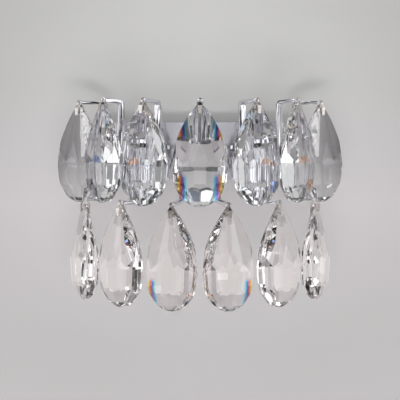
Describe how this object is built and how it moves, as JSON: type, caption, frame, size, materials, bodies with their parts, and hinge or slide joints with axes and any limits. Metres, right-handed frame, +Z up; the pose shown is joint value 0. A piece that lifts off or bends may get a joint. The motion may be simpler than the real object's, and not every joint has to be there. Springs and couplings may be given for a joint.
{
  "type": "wall light",
  "caption": "Wall light with a chromed wall box and half-round hoop that carries two tiers of faceted almond crystals on bent arms, with push-in lamps behind them.",
  "frame": {"origin": "middle of the two wall screws, on the wall plane", "axes": "+X to the right as seen from the room, +Z up, -Y out of the wall into the room"},
  "size_m": [0.2678, 0.1486, 0.1875],
  "materials": {
    "crystal": "polished lead crystal",
    "clip_chrome": "mirror",
    "chrome": "mirror",
    "lamp_glass": "clear",
    "ceramic": "matt white",
    "lead_sleeve": "woven sleeve",
    "grommet_rubber": "matt",
    "terminal_plastic": "moulded",
    "terminal_brass": "plated",
    "bracket_steel": "zinc plated",
    "fastener_steel": "plated"
  },
  "bodies": {
    "frame": {"wall_bracket": "bracket_steel", "cable_grommet": "grommet_rubber", "earth_screw": "fastener_steel", "terminal_block": "terminal_plastic", "terminal_screws": "terminal_brass", "wall_box": "chrome", "box_screws": "fastener_steel", "hoop": "chrome", "hoop_screws": "fastener_steel", "lamp_arm_nuts": "fastener_steel", "holder_screws": "fastener_steel", "lamp_arm_left": "chrome", "lamp_cup_left": "chrome", "lamp_holder_left": "ceramic", "lamp_lead_left": "lead_sleeve", "lamp_arm_right": "chrome", "lamp_cup_right": "chrome", "lamp_holder_right": "ceramic", "lamp_lead_right": "lead_sleeve", "upper_arm_1": "chrome", "upper_arm_2": "chrome", "upper_arm_3": "chrome", "upper_arm_4": "chrome", "upper_arm_5": "chrome", "upper_arm_6": "chrome", "upper_arm_7": "chrome", "lower_arm_1": "chrome", "lower_arm_2": "chrome", "lower_arm_3": "chrome", "lower_arm_4": "chrome", "lower_arm_5": "chrome", "lower_arm_6": "chrome"},
    "upper_clip_1": {"upper_clip_1": "clip_chrome"},
    "upper_crystal_1": {"upper_crystal_1": "crystal"},
    "upper_clip_2": {"upper_clip_2": "clip_chrome"},
    "upper_crystal_2": {"upper_crystal_2": "crystal"},
    "upper_clip_3": {"upper_clip_3": "clip_chrome"},
    "upper_crystal_3": {"upper_crystal_3": "crystal"},
    "upper_clip_4": {"upper_clip_4": "clip_chrome"},
    "upper_crystal_4": {"upper_crystal_4": "crystal"},
    "upper_clip_5": {"upper_clip_5": "clip_chrome"},
    "upper_crystal_5": {"upper_crystal_5": "crystal"},
    "upper_clip_6": {"upper_clip_6": "clip_chrome"},
    "upper_crystal_6": {"upper_crystal_6": "crystal"},
    "upper_clip_7": {"upper_clip_7": "clip_chrome"},
    "upper_crystal_7": {"upper_crystal_7": "crystal"},
    "lower_clip_1": {"lower_clip_1": "clip_chrome"},
    "lower_crystal_1": {"lower_crystal_1": "crystal"},
    "lower_clip_2": {"lower_clip_2": "clip_chrome"},
    "lower_crystal_2": {"lower_crystal_2": "crystal"},
    "lower_clip_3": {"lower_clip_3": "clip_chrome"},
    "lower_crystal_3": {"lower_crystal_3": "crystal"},
    "lower_clip_4": {"lower_clip_4": "clip_chrome"},
    "lower_crystal_4": {"lower_crystal_4": "crystal"},
    "lower_clip_5": {"lower_clip_5": "clip_chrome"},
    "lower_crystal_5": {"lower_crystal_5": "crystal"},
    "lower_clip_6": {"lower_clip_6": "clip_chrome"},
    "lower_crystal_6": {"lower_crystal_6": "crystal"},
    "lamp_left": {"lamp_left": "lamp_glass"},
    "lamp_right": {"lamp_right": "lamp_glass"}
  },
  "joints": [
    {"name": "upper_clip_1_swing", "type": "hinge", "parent": "frame", "child": "upper_clip_1", "pos_m": [-0.1126, -0.04803, 0.0347], "axis": [-0.8387, 0.5446, 0], "range_deg": [-5, 6]},
    {"name": "upper_crystal_1_sway", "type": "hinge", "parent": "upper_clip_1", "child": "upper_crystal_1", "pos_m": [-0.1126, -0.04803, 0.0245], "axis": [-0.5446, -0.8387, 0], "range_deg": [-1.2, 1.2]},
    {"name": "upper_clip_2_swing", "type": "hinge", "parent": "frame", "child": "upper_clip_2", "pos_m": [-0.08742, -0.09004, 0.036], "axis": [-0.6561, 0.7547, 0], "range_deg": [-5, 25]},
    {"name": "upper_crystal_2_sway", "type": "hinge", "parent": "upper_clip_2", "child": "upper_crystal_2", "pos_m": [-0.08742, -0.09004, 0.0258], "axis": [-0.7547, -0.6561, 0], "range_deg": [-1.2, 1.2]},
    {"name": "upper_clip_3_swing", "type": "hinge", "parent": "frame", "child": "upper_clip_3", "pos_m": [-0.04967, -0.12561, 0.0349], "axis": [-0.866, 0.5, 0], "range_deg": [-5, 25]},
    {"name": "upper_crystal_3_sway", "type": "hinge", "parent": "upper_clip_3", "child": "upper_crystal_3", "pos_m": [-0.04967, -0.12561, 0.0247], "axis": [-0.5, -0.866, 0], "range_deg": [-1.2, 1.2]},
    {"name": "upper_clip_4_swing", "type": "hinge", "parent": "frame", "child": "upper_clip_4", "pos_m": [0, -0.1368, 0.0345], "axis": [-1, 0, 0], "range_deg": [-5, 25]},
    {"name": "upper_crystal_4_sway", "type": "hinge", "parent": "upper_clip_4", "child": "upper_crystal_4", "pos_m": [0, -0.1368, 0.0243], "axis": [0, -1, 0], "range_deg": [-1.2, 1.2]},
    {"name": "upper_clip_5_swing", "type": "hinge", "parent": "frame", "child": "upper_clip_5", "pos_m": [0.04967, -0.12561, 0.0349], "axis": [-0.866, -0.5, 0], "range_deg": [-5, 25]},
    {"name": "upper_crystal_5_sway", "type": "hinge", "parent": "upper_clip_5", "child": "upper_crystal_5", "pos_m": [0.04967, -0.12561, 0.0247], "axis": [0.5, -0.866, 0], "range_deg": [-1.2, 1.2]},
    {"name": "upper_clip_6_swing", "type": "hinge", "parent": "frame", "child": "upper_clip_6", "pos_m": [0.08742, -0.09004, 0.036], "axis": [-0.6561, -0.7547, 0], "range_deg": [-5, 25]},
    {"name": "upper_crystal_6_sway", "type": "hinge", "parent": "upper_clip_6", "child": "upper_crystal_6", "pos_m": [0.08742, -0.09004, 0.0258], "axis": [0.7547, -0.6561, 0], "range_deg": [-1.2, 1.2]},
    {"name": "upper_clip_7_swing", "type": "hinge", "parent": "frame", "child": "upper_clip_7", "pos_m": [0.1126, -0.04803, 0.0347], "axis": [-0.8387, -0.5446, 0], "range_deg": [-5, 6]},
    {"name": "upper_crystal_7_sway", "type": "hinge", "parent": "upper_clip_7", "child": "upper_crystal_7", "pos_m": [0.1126, -0.04803, 0.0245], "axis": [0.5446, -0.8387, 0], "range_deg": [-1.2, 1.2]},
    {"name": "lower_clip_1_swing", "type": "hinge", "parent": "frame", "child": "lower_clip_1", "pos_m": [-0.10595, -0.06773, -0.0542], "axis": [-0.4226, 0.9063, 0], "range_deg": [-5, 25]},
    {"name": "lower_crystal_1_sway", "type": "hinge", "parent": "lower_clip_1", "child": "lower_crystal_1", "pos_m": [-0.10595, -0.06773, -0.0644], "axis": [-0.9063, -0.4226, 0], "range_deg": [-1.2, 1.2]},
    {"name": "lower_clip_2_swing", "type": "hinge", "parent": "frame", "child": "lower_clip_2", "pos_m": [-0.07033, -0.11299, -0.0554], "axis": [-0.7826, 0.6225, 0], "range_deg": [-5, 25]},
    {"name": "lower_crystal_2_sway", "type": "hinge", "parent": "lower_clip_2", "child": "lower_crystal_2", "pos_m": [-0.07033, -0.11299, -0.0656], "axis": [-0.6225, -0.7826, 0], "range_deg": [-1.2, 1.2]},
    {"name": "lower_clip_3_swing", "type": "hinge", "parent": "frame", "child": "lower_clip_3", "pos_m": [-0.02467, -0.13414, -0.0565], "axis": [-0.9272, 0.3746, 0], "range_deg": [-5, 25]},
    {"name": "lower_crystal_3_sway", "type": "hinge", "parent": "lower_clip_3", "child": "lower_crystal_3", "pos_m": [-0.02467, -0.13414, -0.0667], "axis": [-0.3746, -0.9272, 0], "range_deg": [-1.2, 1.2]},
    {"name": "lower_clip_4_swing", "type": "hinge", "parent": "frame", "child": "lower_clip_4", "pos_m": [0.02467, -0.13414, -0.0565], "axis": [-0.9272, -0.3746, 0], "range_deg": [-5, 25]},
    {"name": "lower_crystal_4_sway", "type": "hinge", "parent": "lower_clip_4", "child": "lower_crystal_4", "pos_m": [0.02467, -0.13414, -0.0667], "axis": [0.3746, -0.9272, 0], "range_deg": [-1.2, 1.2]},
    {"name": "lower_clip_5_swing", "type": "hinge", "parent": "frame", "child": "lower_clip_5", "pos_m": [0.07033, -0.11299, -0.0554], "axis": [-0.7826, -0.6225, 0], "range_deg": [-5, 25]},
    {"name": "lower_crystal_5_sway", "type": "hinge", "parent": "lower_clip_5", "child": "lower_crystal_5", "pos_m": [0.07033, -0.11299, -0.0656], "axis": [0.6225, -0.7826, 0], "range_deg": [-1.2, 1.2]},
    {"name": "lower_clip_6_swing", "type": "hinge", "parent": "frame", "child": "lower_clip_6", "pos_m": [0.10595, -0.06773, -0.0542], "axis": [-0.4226, -0.9063, 0], "range_deg": [-5, 25]},
    {"name": "lower_crystal_6_sway", "type": "hinge", "parent": "lower_clip_6", "child": "lower_crystal_6", "pos_m": [0.10595, -0.06773, -0.0644], "axis": [0.9063, -0.4226, 0], "range_deg": [-1.2, 1.2]},
    {"name": "lamp_left_pull", "type": "slide", "parent": "frame", "child": "lamp_left", "axis": [0, 0, 1], "range_m": [0, 0.012]},
    {"name": "lamp_right_pull", "type": "slide", "parent": "frame", "child": "lamp_right", "axis": [0, 0, 1], "range_m": [0, 0.012]}
  ]
}
